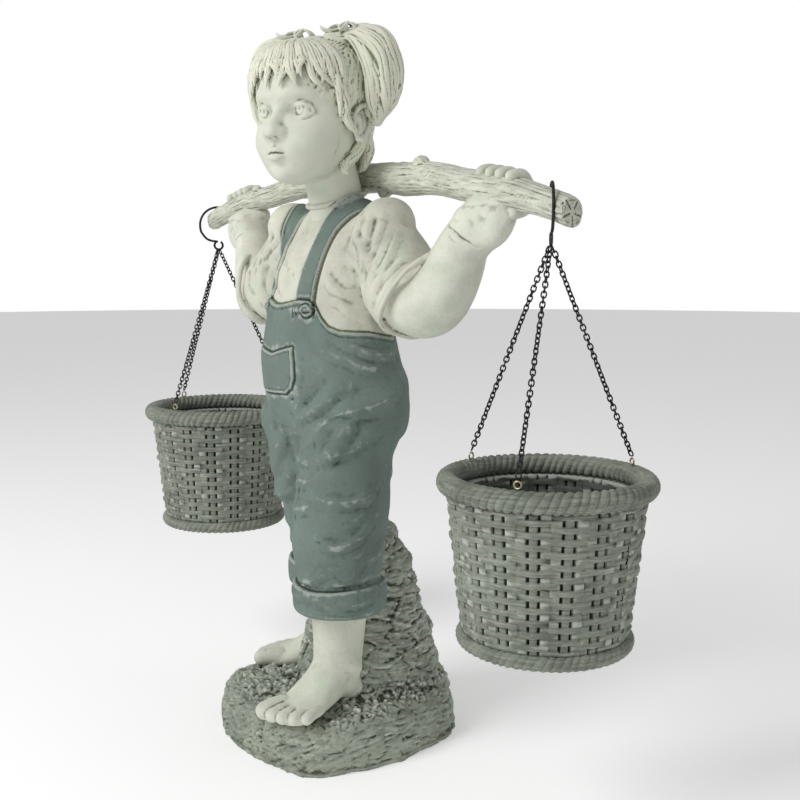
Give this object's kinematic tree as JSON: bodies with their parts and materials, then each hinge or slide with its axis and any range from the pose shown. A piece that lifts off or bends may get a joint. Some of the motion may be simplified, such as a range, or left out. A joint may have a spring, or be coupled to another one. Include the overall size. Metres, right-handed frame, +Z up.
{
  "type": "garden statue",
  "caption": "Standing stone girl who carries a hooked and chained woven basket at each end of a branch across the shoulders, on a rock base.",
  "frame": {"origin": "on the ground, under the middle of the bounding box", "axes": "+Z up, the girl faces -Y, +X is the girl's left; the branch runs along X"},
  "size_m": [0.657, 0.2204, 0.6426],
  "materials": {
    "cast_stone": "matt",
    "basket_stone": "matt",
    "dark_wire": "satin",
    "pale_wire": "satin"
  },
  "bodies": {
    "root": {"statue": "cast_stone", "basket_left": "basket_stone", "basket_right": "basket_stone", "hook_left": "dark_wire", "hook_right": "dark_wire", "chain_left_1": "dark_wire", "chain_left_2": "dark_wire", "chain_left_3": "dark_wire", "chain_right_1": "dark_wire", "chain_right_2": "dark_wire", "chain_right_3": "dark_wire", "eye_left_1": "pale_wire", "eye_left_2": "pale_wire", "eye_left_3": "pale_wire", "eye_right_1": "pale_wire", "eye_right_2": "pale_wire", "eye_right_3": "pale_wire"}
  },
  "joints": []
}
